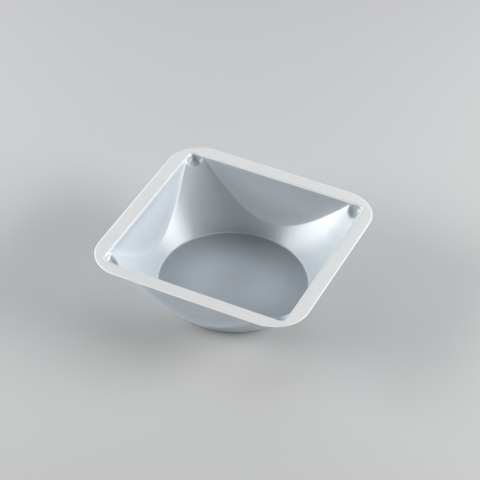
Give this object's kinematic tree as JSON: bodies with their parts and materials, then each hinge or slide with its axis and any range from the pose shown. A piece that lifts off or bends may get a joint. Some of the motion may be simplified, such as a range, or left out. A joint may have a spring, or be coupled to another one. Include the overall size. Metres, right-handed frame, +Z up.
{
  "type": "weighing boat",
  "caption": "Square, thin, translucent weighing boat with a flat rim, steep flat walls, a cone-sided bowl and a round flat floor, for weighing out powders and liquids.",
  "frame": {"origin": "middle of the floor's underside, on the surface that the boat stands on", "axes": "+Z up out of the mouth, +X and +Y along the sides of the square rim"},
  "size_m": [0.089, 0.089, 0.0254],
  "materials": {
    "sheet": "milky translucent sheet with a soft gloss"
  },
  "bodies": {
    "root": {"boat": "sheet"}
  },
  "joints": []
}
